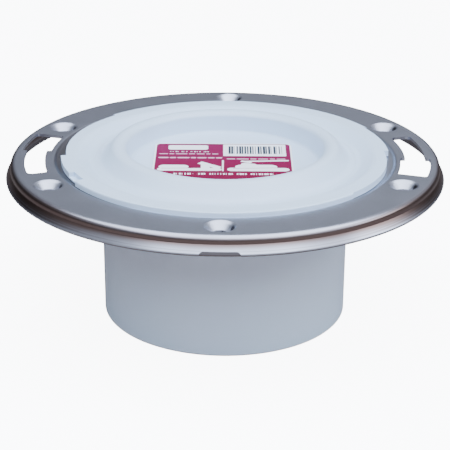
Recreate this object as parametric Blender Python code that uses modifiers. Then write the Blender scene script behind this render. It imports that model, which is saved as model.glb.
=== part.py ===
"""Toilet flange: a white PVC hub that glues into the drain pipe, a pressed stainless
ring that turns round its neck and takes the bowl's bolts, and a dished test cap that
closes the waterway until it is knocked out, with its paper label.

Metres, +Z up. The origin is the centre of the hub's bottom end. The hub stands on the
pipe end at z = 0, and the ring's brim lies on the finished floor at z = HUB_DROP.
"""

import math

import bmesh
import bpy
from mathutils import Matrix, Vector

# Hub, from the pipe outwards
HUB_RADIUS = 0.0504        # fits inside 4 in pipe
HUB_DRAFT = 0.0002         # radius that the hub loses towards its bottom end
HUB_DROP = 0.0593          # pipe end to the finished floor
HUB_WALL = 0.00585         # leaves a socket for 3 in pipe
HUB_CHAMFER = 0.0008
STOP_LEDGE = 0.00225       # shoulder that the 3 in pipe stops against
STOP_HEIGHT = 0.0085

# Flare, neck and lip of the hub
FLARE_REACH = 0.0111       # neck radius beyond the hub's
FLARE_FALL = 0.0055
NECK_HEIGHT = 0.0048
LIP_OVERHANG = 0.0063      # lip radius beyond the neck's
LIP_STAND = 0.0015         # lip top above the ring's flat
LIP_LAND = 0.0073          # flat part of the lip's top
LIP_ROUND = 0.0005
FUNNEL_DROP = 0.0027       # lip top to the valley round the cap
VALLEY_WIDTH = 0.0020

# Cuts in the lip's edge, in degrees from +X: on each side an eccentric cut-back that
# steps out to a shallower landing, and one pocket at the left landing's end
CUTBACKS = ((136.0, 53.0, 0.0016), (316.0, 50.9, 0.0005))  # start, arc and depth at the start
CUTBACK_DEEP = 0.0036      # depth at the end of each
LANDING_ENDS = (211.5, 387.5)
LANDING_DEPTH = 0.0013
POCKET_ARC = 8.0
POCKET_DEPTH = 0.0018
POCKET_WIDTH = 0.0036

# Snap lugs that keep the ring on the neck
LUG_COUNT = 4
FIRST_LUG = 45.0           # middle of the first lug, degrees from +X
LUG_ARC = 18.0
LUG_REACH = 0.0019
LUG_HEIGHT = 0.0034
LUG_NOSE = 0.0011          # upright part of a lug, above its ramp

# Pressed ring
SHEET = 0.0012
RING_HEIGHT = 0.0074
FLAT_BAND = 0.0148         # flat that the bolts and screws pass through
SHOULDER = 0.0028          # outer radius of the bend from the flat to the wall
BEAD_REACH = 0.0020        # rolled edge, beyond the wall
BEAD_RISE = 0.0043
BEAD_BELLY = 0.0013        # widest point above the underside
BEAD_ROUND = 0.0005        # upper rounding of the rolled edge
BEAD_LAND = 0.0020         # flat that rests on the floor
JOGGLE_DROP = 0.0012
JOGGLE_RUN = 0.0011

BOLT_INSET = 0.00775       # circle of the bolts and screws, out from the joggle

# Bolt slots: each has a wide mouth for the bolt's head and a narrow run for its shank
MOUTH_WIDTH = 0.0120
MOUTH_START = -17.6
MOUTH_ARC = 15.0
SHANK_WIDTH = 0.0082
SHANK_ARC = 20.0
SLOT_COUNT = 2

# Screw holes, dimpled for flat heads
HOLE_ANGLES = (28.0, 88.8, 153.8, 208.0, 268.8, 333.8)
HOLE_RADIUS = 0.0032
DIMPLE_RADIUS = 0.0055
DIMPLE_DEPTH = 0.0028
DIMPLE_NECK = 0.0006       # plain part of the hole below the dimple's cone

# Relief in the bead at the front
RELIEF_WIDTH = 0.0141
RELIEF_HEIGHT = 0.0013
RELIEF_DEPTH = 0.0009
RELIEF_ANGLE = 268.9

# Test cap
SEAT_WIDTH = 0.0107        # ledge in the hub that the cap's rim lies on
CAP_RIM = 0.0027
RIDGE_HEIGHT = 0.0063
RIDGE_INSET = 0.0014       # crest beyond the dish's outer wall
RIDGE_ROUND = 0.0024
RIDGE_FOOT = 0.0078        # crest to the foot of the outer slope
CAP_WALL = 0.0023
DISH_DROP = 0.0025         # dish floor below the valley
DISH_FLOOR = 0.0024
DISH_WALL = 0.0019
DISH_DRAFT = 0.0010
DISH_FILLET = 0.0010
DISH_FILLET_END = -10.0    # degrees at which the fillet meets the drafted wall
RIDGE_BEND_END = 30.0      # degrees at which the ridge's bend meets its outer slope
FOOT_EASE = 0.0015         # run of the easing at the outer slope's foot
FOOT_EASE_RISE = 0.0012

# Groove under the cap's ridge. The drops are below the crest, in cap walls
GROOVE_FOOT_INSET = 0.0031
GROOVE_OUTER = 0.0017      # outer corner of the roof, beyond the crest
GROOVE_OUTER_DROP = 1.6
GROOVE_TOP = 0.0002        # highest corner, beyond the crest
GROOVE_INNER = 0.0005      # inner corner, beyond the dish's outer wall
GROOVE_INNER_DROP = 1.2
GROOVE_MOUTH_DROP = 1.8

# Label on the dish's floor
LABEL_WIDTH = 0.0570
LABEL_DEPTH = 0.0450
LABEL_THICK = 0.0003
LABEL_CORNER = 0.0025
LABEL_SHIFT = -0.0008      # along X

# Clearances
REST_GAP = 0.0003          # between pieces that lie on each other
CAP_PLAY = 0.0003          # round the cap's rim and its dish
RING_PLAY = 0.0006         # round the neck
RING_LIFT = 0.0004         # above the lugs
LIP_GAP = 0.0015           # lip's edge to the ring's joggle

TURN_STEPS = 72
HOLE_STEPS = 24
BEND_STEPS = 4
SMOOTH_ANGLE = math.radians(35)
OVERSHOOT = 0.002          # how far a cutter runs past what it cuts
LANDING_LAP = 7.0          # degrees that a landing's cutter runs into its cut-back

# Radii that follow from the sizes above
NECK_RADIUS = HUB_RADIUS + FLARE_REACH
LIP_RADIUS = NECK_RADIUS + LIP_OVERHANG
SOCKET_RADIUS = HUB_RADIUS - HUB_WALL
WATERWAY_RADIUS = SOCKET_RADIUS - STOP_LEDGE
SEAT_RADIUS = WATERWAY_RADIUS + SEAT_WIDTH
FUNNEL_RADIUS = SEAT_RADIUS + VALLEY_WIDTH
JOGGLE_RADIUS = LIP_RADIUS + LIP_GAP
BAND_RADIUS = JOGGLE_RADIUS + FLAT_BAND
WALL_RADIUS = BAND_RADIUS + SHOULDER
RING_RADIUS = WALL_RADIUS + BEAD_REACH
BOLT_RADIUS = JOGGLE_RADIUS + BOLT_INSET
DISH_OUTSIDE = WATERWAY_RADIUS - CAP_PLAY
DISH_RADIUS = DISH_OUTSIDE - DISH_WALL
CREST_RADIUS = DISH_OUTSIDE + RIDGE_INSET
CAP_RADIUS = SEAT_RADIUS - CAP_PLAY

# Heights that follow
RING_TOP = HUB_DROP + RING_HEIGHT
TUCK_TOP = RING_TOP - JOGGLE_DROP      # the ring's inner flange, tucked under the lip
LIP_UNDER = TUCK_TOP + REST_GAP
LIP_TOP = RING_TOP + LIP_STAND
LUG_TOP = TUCK_TOP - SHEET - RING_LIFT
VALLEY = LIP_TOP - FUNNEL_DROP
CAP_UNDER = VALLEY - CAP_RIM
SEAT = CAP_UNDER - REST_GAP
SOCKET_TOP = SEAT - STOP_HEIGHT
NECK_FOOT = LIP_UNDER - NECK_HEIGHT
CREST = VALLEY + RIDGE_HEIGHT
DISH_TOP = VALLEY - DISH_DROP
DISH_UNDER = DISH_TOP - DISH_FLOOR


def clear_scene():
    for old in list(bpy.data.objects):
        bpy.data.objects.remove(old)


def new_collection(name):
    collection = bpy.data.collections.new(name)
    bpy.context.scene.collection.children.link(collection)
    return collection


def new_material(name, colour, roughness, metallic=0.0):
    material = bpy.data.materials.new(name)
    material.use_nodes = True
    shader = material.node_tree.nodes["Principled BSDF"]
    shader.inputs["Base Color"].default_value = (*colour, 1.0)
    shader.inputs["Roughness"].default_value = roughness
    shader.inputs["Metallic"].default_value = metallic
    return material


def bend(centre_r, centre_z, radius_r, radius_z, start, end, steps=BEND_STEPS):
    """Points (r, z) along an elliptical bend, between two angles in degrees."""
    points = []
    for i in range(steps + 1):
        angle = math.radians(start + (end - start) * i / steps)
        points.append((centre_r + radius_r * math.cos(angle), centre_z + radius_z * math.sin(angle)))
    return points


def turned(name, profile, collection, closed=True):
    """An object whose (r, z) profile is turned about Z by a Screw modifier."""
    mesh = bpy.data.meshes.new(name)
    count = len(profile)
    edges = [(i, (i + 1) % count) for i in range(count if closed else count - 1)]
    mesh.from_pydata([(r, 0.0, z) for r, z in profile], edges, [])
    turned_object = bpy.data.objects.new(name, mesh)
    collection.objects.link(turned_object)
    screw = turned_object.modifiers.new("Turn", "SCREW")
    screw.axis = "Z"
    screw.steps = TURN_STEPS
    screw.render_steps = TURN_STEPS
    screw.use_merge_vertices = True
    screw.merge_threshold = 0.00001
    screw.use_smooth_shade = False
    return turned_object


def from_bmesh(name, build, collection):
    mesh = bpy.data.meshes.new(name)
    bmesh.ops.recalc_face_normals(build, faces=build.faces)
    build.to_mesh(mesh)
    build.free()
    made = bpy.data.objects.new(name, mesh)
    collection.objects.link(made)
    return made


def add_arc_block(build, inner, outer, low, high, start, arc, centre=(0.0, 0.0)):
    """Adds the solid swept by a rectangle through an arc, in degrees, about Z."""
    middle = Vector(((inner + outer) / 2, 0.0, (low + high) / 2))
    size = Matrix.Diagonal((outer - inner, high - low, 1.0, 1.0))
    upright = Matrix.Rotation(math.radians(90), 4, "X")
    turn = Matrix.Rotation(math.radians(start), 4, "Z")
    place = Matrix.Translation((*centre, 0.0))
    made = bmesh.ops.create_grid(
        build,
        x_segments=1,
        y_segments=1,
        size=0.5,
        matrix=place @ turn @ Matrix.Translation(middle) @ upright @ size,
    )
    face = made["verts"][0].link_faces[0]
    bmesh.ops.spin(
        build,
        geom=[face, *face.edges, *face.verts],
        cent=(*centre, 0.0),
        axis=(0.0, 0.0, 1.0),
        angle=math.radians(arc),
        steps=max(2, round(arc / 360 * TURN_STEPS * 1.5)),
    )


def arc_blocks(name, blocks, collection):
    """One object holding a list of arc blocks, each a dictionary of add_arc_block's values."""
    build = bmesh.new()
    for block in blocks:
        add_arc_block(build, **block)
    return from_bmesh(name, build, collection)


def frusta(name, angles, radius, low, high, low_radius, high_radius, collection):
    """One object with an upright frustum at each angle, in degrees, on a circle."""
    build = bmesh.new()
    for angle in angles:
        turn = Matrix.Rotation(math.radians(angle), 4, "Z")
        bmesh.ops.create_cone(
            build,
            cap_ends=True,
            segments=HOLE_STEPS,
            radius1=low_radius,
            radius2=high_radius,
            depth=high - low,
            matrix=turn @ Matrix.Translation((radius, 0.0, (low + high) / 2)),
        )
    return from_bmesh(name, build, collection)


def combine(target, operation, tool):
    tool.hide_render = True
    tool.display_type = "WIRE"
    boolean = target.modifiers.new(tool.name, "BOOLEAN")
    boolean.operation = operation
    boolean.solver = "EXACT"
    boolean.object = tool


def settle(target, material):
    """Makes the modified shape the object's own mesh, shaded smooth with sharp corners."""
    bpy.context.view_layer.update()
    graph = bpy.context.evaluated_depsgraph_get()
    mesh = bpy.data.meshes.new_from_object(target.evaluated_get(graph))
    target.modifiers.clear()
    target.data = mesh
    mesh.name = target.name
    mesh.shade_smooth()
    mesh.set_sharp_from_angle(angle=SMOOTH_ANGLE)
    mesh.materials.clear()
    mesh.materials.append(material)
    return target


def hub_profile():
    """The hub's section, down its outside and up its bore."""
    foot_radius = HUB_RADIUS - HUB_DRAFT
    return [
        (LIP_RADIUS - LIP_LAND, LIP_TOP),
        *bend(LIP_RADIUS - LIP_ROUND, LIP_TOP - LIP_ROUND, LIP_ROUND, LIP_ROUND, 90, 0, 2),
        (LIP_RADIUS, LIP_UNDER),
        (NECK_RADIUS, LIP_UNDER),
        (NECK_RADIUS, NECK_FOOT),
        (HUB_RADIUS, NECK_FOOT - FLARE_FALL),
        (foot_radius, HUB_CHAMFER),
        (foot_radius - HUB_CHAMFER, 0.0),
        (SOCKET_RADIUS + HUB_CHAMFER, 0.0),
        (SOCKET_RADIUS, HUB_CHAMFER),
        (SOCKET_RADIUS, SOCKET_TOP),
        (WATERWAY_RADIUS, SOCKET_TOP),
        (WATERWAY_RADIUS, SEAT),
        (SEAT_RADIUS, SEAT),
        (SEAT_RADIUS, VALLEY),
        (FUNNEL_RADIUS, VALLEY),
    ]


def cutback_blocks():
    """The cut-backs: arcs off centre, so each one deepens as it goes round."""
    blocks = []
    for start, arc, shallow in CUTBACKS:
        angle = math.radians(start)
        offset = (CUTBACK_DEEP - shallow) / (1 - math.cos(math.radians(arc)))
        blocks.append(
            {
                "inner": LIP_RADIUS - shallow - offset,
                "outer": LIP_RADIUS + OVERSHOOT,
                "low": LIP_UNDER - REST_GAP,
                "high": LIP_TOP + OVERSHOOT,
                "start": start,
                "arc": arc,
                "centre": (offset * math.cos(angle), offset * math.sin(angle)),
            }
        )
    return blocks


def landing_blocks():
    """The shallow landings. Each begins inside its cut-back, so no cut shares a face."""
    blocks = []
    for (start, arc, _), end in zip(CUTBACKS, LANDING_ENDS):
        landing_start = start + arc - LANDING_LAP
        blocks.append(
            {
                "inner": LIP_RADIUS - LANDING_DEPTH,
                "outer": LIP_RADIUS + OVERSHOOT,
                "low": LIP_UNDER - REST_GAP,
                "high": LIP_TOP + OVERSHOOT,
                "start": landing_start,
                "arc": end - landing_start,
            }
        )
    return blocks


def lug_profile():
    """A full ring of the lug's section. Arcs are cut out of it between the lugs."""
    return [
        (NECK_RADIUS - OVERSHOOT, LUG_TOP),
        (NECK_RADIUS + LUG_REACH, LUG_TOP),
        (NECK_RADIUS + LUG_REACH, LUG_TOP - LUG_NOSE),
        (NECK_RADIUS - OVERSHOOT, LUG_TOP - LUG_HEIGHT),
    ]


def build_hub(parts, cutters, material):
    hub = turned("flange_body", hub_profile(), parts)
    combine(hub, "DIFFERENCE", arc_blocks("lip_cutbacks", cutback_blocks(), cutters))
    combine(hub, "DIFFERENCE", arc_blocks("lip_landings", landing_blocks(), cutters))
    pocket = {
        "inner": LIP_RADIUS - POCKET_WIDTH,
        "outer": LIP_RADIUS + OVERSHOOT,
        "low": LIP_TOP - POCKET_DEPTH,
        "high": LIP_TOP + OVERSHOOT,
        "start": LANDING_ENDS[0] - POCKET_ARC,
        "arc": POCKET_ARC,
    }
    combine(hub, "DIFFERENCE", arc_blocks("lip_pocket", [pocket], cutters))
    lugs = turned("snap_lugs", lug_profile(), cutters)
    between = 360 / LUG_COUNT - LUG_ARC
    gaps = [
        {
            "inner": NECK_RADIUS - 2 * OVERSHOOT,
            "outer": NECK_RADIUS + LUG_REACH + OVERSHOOT,
            "low": LUG_TOP - LUG_HEIGHT - OVERSHOOT,
            "high": LUG_TOP + OVERSHOOT,
            "start": FIRST_LUG + LUG_ARC / 2 + 360 * i / LUG_COUNT,
            "arc": between,
        }
        for i in range(LUG_COUNT)
    ]
    combine(lugs, "DIFFERENCE", arc_blocks("lug_gaps", gaps, cutters))
    combine(hub, "UNION", lugs)
    return settle(hub, material)


def ring_profile():
    """The ring's section: tucked inner flange, joggle, flat, shoulder, wall and rolled bead."""
    tuck_radius = NECK_RADIUS + RING_PLAY
    shoulder_z = RING_TOP - SHOULDER
    belly_z = HUB_DROP + BEAD_BELLY
    inner_wall = WALL_RADIUS - SHEET
    return [
        (tuck_radius, TUCK_TOP),
        (JOGGLE_RADIUS - JOGGLE_RUN, TUCK_TOP),
        (JOGGLE_RADIUS, RING_TOP),
        *bend(BAND_RADIUS, shoulder_z, SHOULDER, SHOULDER, 90, 0),
        (WALL_RADIUS, HUB_DROP + BEAD_RISE),
        *bend(RING_RADIUS - BEAD_ROUND, belly_z, BEAD_ROUND, BEAD_ROUND, 60, 0, 2),
        *bend(WALL_RADIUS + BEAD_REACH / 2, belly_z, BEAD_REACH / 2, BEAD_BELLY, -45, -90, 1),
        (WALL_RADIUS + BEAD_REACH / 2 - BEAD_LAND, HUB_DROP),
        (inner_wall, belly_z),
        *bend(BAND_RADIUS, shoulder_z, SHOULDER - SHEET, SHOULDER - SHEET, 0, 90, 2),
        (JOGGLE_RADIUS + SHEET / 2, RING_TOP - SHEET),
        (JOGGLE_RADIUS + SHEET / 2 - JOGGLE_RUN, TUCK_TOP - SHEET),
        (tuck_radius, TUCK_TOP - SHEET),
    ]


def slot_blocks():
    """Mouth and shank run of each bolt slot. They overlap, so no cut shares a face."""
    low = RING_TOP - SHEET - OVERSHOOT / 2
    high = RING_TOP + OVERSHOOT
    mouths = []
    runs = []
    for i in range(SLOT_COUNT):
        start = MOUTH_START + 360 * i / SLOT_COUNT
        mouths.append(
            {
                "inner": BOLT_RADIUS - MOUTH_WIDTH / 2,
                "outer": BOLT_RADIUS + MOUTH_WIDTH / 2,
                "low": low,
                "high": high,
                "start": start,
                "arc": MOUTH_ARC,
            }
        )
        runs.append(
            {
                "inner": BOLT_RADIUS - SHANK_WIDTH / 2,
                "outer": BOLT_RADIUS + SHANK_WIDTH / 2,
                "low": low,
                "high": high,
                "start": start + MOUTH_ARC / 2,
                "arc": SHANK_ARC + MOUTH_ARC / 2,
            }
        )
    return mouths, runs


def build_ring(parts, cutters, material):
    ring = turned("swivel_ring", ring_profile(), parts)
    slope = (DIMPLE_RADIUS - HOLE_RADIUS) / DIMPLE_DEPTH
    hole_bottom = RING_TOP - DIMPLE_DEPTH - DIMPLE_NECK
    cup_top = RING_TOP - SHEET / 2
    cups = frusta(
        "dimple_cups",
        HOLE_ANGLES,
        BOLT_RADIUS,
        hole_bottom,
        cup_top,
        HOLE_RADIUS + SHEET,
        DIMPLE_RADIUS + SHEET,
        cutters,
    )
    combine(ring, "UNION", cups)
    cones = frusta(
        "dimple_cones",
        HOLE_ANGLES,
        BOLT_RADIUS,
        RING_TOP - DIMPLE_DEPTH,
        RING_TOP + OVERSHOOT / 4,
        HOLE_RADIUS,
        DIMPLE_RADIUS + slope * OVERSHOOT / 4,
        cutters,
    )
    combine(ring, "DIFFERENCE", cones)
    holes = frusta(
        "screw_holes",
        HOLE_ANGLES,
        BOLT_RADIUS,
        hole_bottom - OVERSHOOT,
        RING_TOP,
        HOLE_RADIUS,
        HOLE_RADIUS,
        cutters,
    )
    combine(ring, "DIFFERENCE", holes)
    mouths, runs = slot_blocks()
    combine(ring, "DIFFERENCE", arc_blocks("slot_mouths", mouths, cutters))
    combine(ring, "DIFFERENCE", arc_blocks("slot_shank_runs", runs, cutters))
    relief_arc = math.degrees(RELIEF_WIDTH / RING_RADIUS)
    relief = {
        "inner": RING_RADIUS - RELIEF_DEPTH,
        "outer": RING_RADIUS + OVERSHOOT,
        "low": HUB_DROP - OVERSHOOT,
        "high": HUB_DROP + RELIEF_HEIGHT,
        "start": RELIEF_ANGLE - relief_arc / 2,
        "arc": relief_arc,
    }
    combine(ring, "DIFFERENCE", arc_blocks("bead_relief", [relief], cutters))
    return settle(ring, material)


def cap_profile():
    """The cap's section, from the middle of the dish out over the ridge and back below."""
    fillet_r = DISH_RADIUS - DISH_DRAFT - DISH_FILLET
    fillet_z = DISH_TOP + DISH_FILLET
    foot_radius = CREST_RADIUS + RIDGE_FOOT
    return [
        (0.0, DISH_TOP),
        *bend(fillet_r, fillet_z, DISH_FILLET, DISH_FILLET, -90, DISH_FILLET_END, 2),
        *bend(
            CREST_RADIUS,
            CREST - RIDGE_ROUND,
            RIDGE_ROUND + DISH_DRAFT,
            RIDGE_ROUND,
            180,
            RIDGE_BEND_END,
            BEND_STEPS + 1,
        ),
        (foot_radius - FOOT_EASE, VALLEY + FOOT_EASE_RISE),
        (foot_radius, VALLEY),
        (CAP_RADIUS, VALLEY),
        (CAP_RADIUS, CAP_UNDER),
        (foot_radius - GROOVE_FOOT_INSET, CAP_UNDER),
        (CREST_RADIUS + GROOVE_OUTER, CREST - GROOVE_OUTER_DROP * CAP_WALL),
        (CREST_RADIUS + GROOVE_TOP, CREST - CAP_WALL),
        (DISH_OUTSIDE + GROOVE_INNER, CREST - GROOVE_INNER_DROP * CAP_WALL),
        (DISH_OUTSIDE, CREST - GROOVE_MOUTH_DROP * CAP_WALL),
        (DISH_OUTSIDE, DISH_UNDER + DISH_FILLET),
        (DISH_OUTSIDE - DISH_FILLET, DISH_UNDER),
        (0.0, DISH_UNDER),
    ]


def build_cap(parts, material):
    return settle(turned("knockout_cap", cap_profile(), parts, closed=False), material)


def build_label(parts, material):
    build = bmesh.new()
    flat = Matrix.Diagonal((LABEL_WIDTH, LABEL_DEPTH, LABEL_THICK, 1.0))
    middle = DISH_TOP + REST_GAP + LABEL_THICK / 2
    bmesh.ops.create_cube(build, size=1.0, matrix=Matrix.Translation((LABEL_SHIFT, 0.0, middle)) @ flat)
    corners = []
    for edge in build.edges:
        along = edge.verts[0].co - edge.verts[1].co
        if abs(along.z) > LABEL_THICK / 2:
            corners.append(edge)
    bmesh.ops.bevel(build, geom=corners, offset=LABEL_CORNER, segments=3, profile=0.5, affect="EDGES")
    label = from_bmesh("cap_label", build, parts)
    label.data.materials.append(material)
    return label


def main():
    clear_scene()
    parts = new_collection("toilet_flange")
    cutters = new_collection("cutters")
    pvc = new_material("moulded_white_pvc", (0.82, 0.85, 0.88), 0.35)
    stainless = new_material("pressed_stainless_steel", (0.58, 0.60, 0.64), 0.3, 1.0)
    printed = new_material("printed_label", (0.52, 0.03, 0.13), 0.45)
    build_hub(parts, cutters, pvc)
    build_ring(parts, cutters, stainless)
    build_cap(parts, pvc)
    build_label(parts, printed)


main()
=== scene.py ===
# %% [markdown]
# # Toilet flange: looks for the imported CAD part
#
# A toilet flange joins the toilet bowl to the drain pipe. This one has four pieces: a hub
# moulded in white PVC, a stainless steel ring that turns round the hub's neck and takes
# the bowl's bolts, a test cap that closes the hub until it is knocked out, and a printed
# label in the cap's dish.
#
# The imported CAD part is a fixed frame. It says where each piece is and how it moves. This
# notebook models each piece again with soft edges and fine sections, gives it a material
# worked out from the real one, and lights it as a small product is lit in a studio.

# %% Load the frame
import math

import bmesh
import bpy
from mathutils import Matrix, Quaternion, Vector


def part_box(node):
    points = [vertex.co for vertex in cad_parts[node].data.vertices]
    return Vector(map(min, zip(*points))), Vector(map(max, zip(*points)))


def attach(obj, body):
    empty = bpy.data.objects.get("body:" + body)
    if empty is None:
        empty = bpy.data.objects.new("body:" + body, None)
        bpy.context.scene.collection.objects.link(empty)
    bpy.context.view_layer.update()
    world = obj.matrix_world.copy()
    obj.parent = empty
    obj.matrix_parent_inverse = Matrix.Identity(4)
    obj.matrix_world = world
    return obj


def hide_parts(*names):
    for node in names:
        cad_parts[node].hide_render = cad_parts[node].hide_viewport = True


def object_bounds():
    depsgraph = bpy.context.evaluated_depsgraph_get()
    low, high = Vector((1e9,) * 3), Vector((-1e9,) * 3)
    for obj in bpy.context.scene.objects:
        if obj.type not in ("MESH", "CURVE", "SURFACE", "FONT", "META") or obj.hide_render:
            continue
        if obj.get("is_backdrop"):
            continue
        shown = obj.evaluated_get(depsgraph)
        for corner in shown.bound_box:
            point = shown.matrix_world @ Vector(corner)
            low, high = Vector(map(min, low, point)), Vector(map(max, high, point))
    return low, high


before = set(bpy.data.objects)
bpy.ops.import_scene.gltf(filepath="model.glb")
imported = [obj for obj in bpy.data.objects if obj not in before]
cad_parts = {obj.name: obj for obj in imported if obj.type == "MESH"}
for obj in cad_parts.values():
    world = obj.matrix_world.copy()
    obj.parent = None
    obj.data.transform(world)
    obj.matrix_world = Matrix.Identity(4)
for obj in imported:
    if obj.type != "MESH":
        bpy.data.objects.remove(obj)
CAD_BOX = [list(corner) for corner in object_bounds()]
MM = 0.001
for node in sorted(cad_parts):
    low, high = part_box(node)
    print(node, [round(v / MM, 1) for v in low], [round(v / MM, 1) for v in high])

# %% [markdown]
# ## Camera
#
# It is a long lens at about the height from which a person looks down at a part on a
# bench, 22 degrees above the floor. A long lens keeps the ring's ellipse even, with its
# near and far halves almost alike. The camera's own turn is a third of a degree.

# %% Place the camera
AIM = Vector((0.0001, 0.0, 0.03565))
CAMERA_DISTANCE = 0.6366
CAMERA_ELEVATION = math.radians(22.17)
CAMERA_ROLL = math.radians(0.32)
LENS_MM = 122.8

backwards = Vector((0.0, -math.cos(CAMERA_ELEVATION), math.sin(CAMERA_ELEVATION)))
bpy.ops.object.camera_add(location=AIM + CAMERA_DISTANCE * backwards)
camera = bpy.context.object
camera.name = "camera"
camera.data.lens = LENS_MM
camera.data.sensor_width = 36.0
camera.rotation_mode = "QUATERNION"
roll = Quaternion(backwards, CAMERA_ROLL)
camera.rotation_quaternion = roll @ backwards.to_track_quat("Z", "Y")
bpy.context.scene.camera = camera
print("camera at", [round(v, 4) for v in camera.location])

# %% [markdown]
# ## Working by hand, in code
#
# Most of this object is round, so most of it is turned, as on a lathe: a section is drawn
# corner by corner with the extrude tool, its corners are rounded with the bevel tool, and
# the spin tool sweeps it round the pipe's axis. The helpers below hold those few moves.
# An operator acts on whatever is selected, so each helper begins by selecting nothing,
# and corners are then found by their place.

# %% Helpers: selecting by place
def select_nothing():
    if bpy.context.mode != "OBJECT":
        bpy.ops.object.mode_set(mode="OBJECT")
    bpy.ops.object.select_all(action="DESELECT")


def select_only(thing):
    select_nothing()
    thing.select_set(True)
    bpy.context.view_layer.objects.active = thing


def select_where(thing, kind, wanted):
    """In edit mode, selects the vertices, edges or faces for which wanted() is true."""
    bpy.ops.mesh.select_mode(type={"verts": "VERT", "edges": "EDGE", "faces": "FACE"}[kind])
    bpy.ops.mesh.select_all(action="DESELECT")
    shape = bmesh.from_edit_mesh(thing.data)
    for part in getattr(shape, kind):
        if wanted(part):
            part.select_set(True)
    shape.select_flush_mode()
    bmesh.update_edit_mesh(thing.data)


def at_corner(r, z):
    """A test for the vertex that stands at this place in a section."""
    return lambda vert: abs(vert.co.x - r) + abs(vert.co.z - z) < 0.001 * MM


# %% Helpers: drawing a section and turning it
STEPS = 216                # sides of a turned piece: too many to see as flats


def draw_section(name, corners, closed=True):
    """A section in the XZ plane. Each corner is (r, z) or (r, z, rounding), in mm."""
    select_nothing()
    bpy.ops.mesh.primitive_plane_add(size=MM)
    piece = bpy.context.object
    piece.name = name
    bpy.ops.object.mode_set(mode="EDIT")
    bpy.ops.mesh.select_mode(type="VERT")
    bpy.ops.mesh.merge(type="CENTER")
    start = Vector((corners[0][0], 0.0, corners[0][1])) * MM
    bpy.ops.transform.translate(value=start)
    for before, after in zip(corners, corners[1:]):
        step = Vector((after[0] - before[0], 0.0, after[1] - before[1])) * MM
        bpy.ops.mesh.extrude_region_move(TRANSFORM_OT_translate={"value": step})
    if closed:
        ends = (corners[0], corners[-1])
        tests = [at_corner(c[0] * MM, c[1] * MM) for c in ends]
        select_where(piece, "verts", lambda v: any(test(v) for test in tests))
        bpy.ops.mesh.edge_face_add()
    for corner in corners:
        if len(corner) > 2:
            select_where(piece, "verts", at_corner(corner[0] * MM, corner[1] * MM))
            steps = 4 if corner[2] > 0.5 else 2
            bpy.ops.mesh.bevel(offset=corner[2] * MM, segments=steps, affect="VERTICES")
    return piece


def spin_round(piece, arc=360.0, steps=STEPS):
    """Sweeps what is drawn anticlockwise about Z, closes the seam and turns faces outwards."""
    bpy.ops.mesh.select_all(action="SELECT")
    bpy.ops.mesh.spin(steps=steps, angle=math.radians(-arc), center=(0, 0, 0), axis=(0, 0, 1))
    bpy.ops.mesh.select_all(action="SELECT")
    bpy.ops.mesh.remove_doubles(threshold=0.002 * MM)
    bpy.ops.mesh.normals_make_consistent(inside=False)
    bpy.ops.object.mode_set(mode="OBJECT")
    return piece


def turned(name, corners, closed=True, steps=STEPS):
    return spin_round(draw_section(name, corners, closed), steps=steps)


# %% [markdown]
# ## Cutting tools
#
# Slots, pockets and steps are cut as a machine shop cuts them: a tool of the right shape
# is made, and a Boolean modifier takes it away. A block that follows the ring is one
# upright rectangle spun through part of a turn. Its upright corners are rounded first, as
# a punch's are.

# %% Helper: arc-shaped tools
TOOL_STEP = 2.0            # degrees between the upright lines of a tool


def arc_tool(name, radii, heights, start, arc, corner=0.0, centre=(0.0, 0.0)):
    """A block between two radii and two heights in mm, from start through arc, in degrees."""
    width, height = radii[1] - radii[0], heights[1] - heights[0]
    place = Vector((sum(radii) / 2, 0.0, sum(heights) / 2)) * MM
    select_nothing()
    bpy.ops.mesh.primitive_plane_add(size=MM, location=place, rotation=(math.pi / 2, 0, 0))
    tool = bpy.context.object
    tool.name = name
    bpy.ops.transform.resize(value=(width, 1.0, height))
    bpy.ops.object.transform_apply(location=True, rotation=True, scale=True)
    bpy.ops.object.mode_set(mode="EDIT")
    spin_round(tool, arc, max(3, round(arc / TOOL_STEP)))
    if corner:
        bpy.ops.object.mode_set(mode="EDIT")
        ends = [Vector((math.cos(a), math.sin(a), 0.0)) for a in (0.0, math.radians(arc))]

        def upright_corner(edge):
            along = edge.verts[0].co - edge.verts[1].co
            out = Vector((*edge.verts[0].co.xy, 0.0)).normalized()
            return abs(along.z) > 0.9 * height * MM and max(out.dot(e) for e in ends) > 0.99999

        select_where(tool, "edges", upright_corner)
        bpy.ops.mesh.bevel(offset=corner * MM, segments=5, affect="EDGES")
        bpy.ops.object.mode_set(mode="OBJECT")
    tool.rotation_euler.z = math.radians(start)
    tool.location = Vector((*centre, 0.0)) * MM
    select_only(tool)
    bpy.ops.object.transform_apply(location=True, rotation=True, scale=True)
    return tool


# %% Helpers: cutting, softening and finishing
SHARP_ANGLE = math.radians(35)      # an edge sharper than this is rounded
SMOOTH_ANGLE = math.radians(32)     # faces that meet more flatly than this shade as one


def combine(piece, tool, operation="DIFFERENCE"):
    """Cuts the tool out of the piece, or joins it on, and puts the tool away."""
    select_only(piece)
    boolean = piece.modifiers.new("tool", "BOOLEAN")
    boolean.operation = operation
    boolean.solver = "EXACT"
    boolean.object = tool
    bpy.ops.object.modifier_apply(modifier=boolean.name)
    bpy.data.objects.remove(tool)


def soften(piece, width):
    """Rounds every sharp edge over this width in mm, as a punch or tumbling leaves it."""
    select_only(piece)
    bevel = piece.modifiers.new("soft edges", "BEVEL")
    bevel.limit_method = "ANGLE"
    bevel.angle_limit = SHARP_ANGLE
    bevel.width = width * MM
    bevel.segments = 2
    bevel.miter_outer = "MITER_ARC"
    bpy.ops.object.modifier_apply(modifier=bevel.name)


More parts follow.
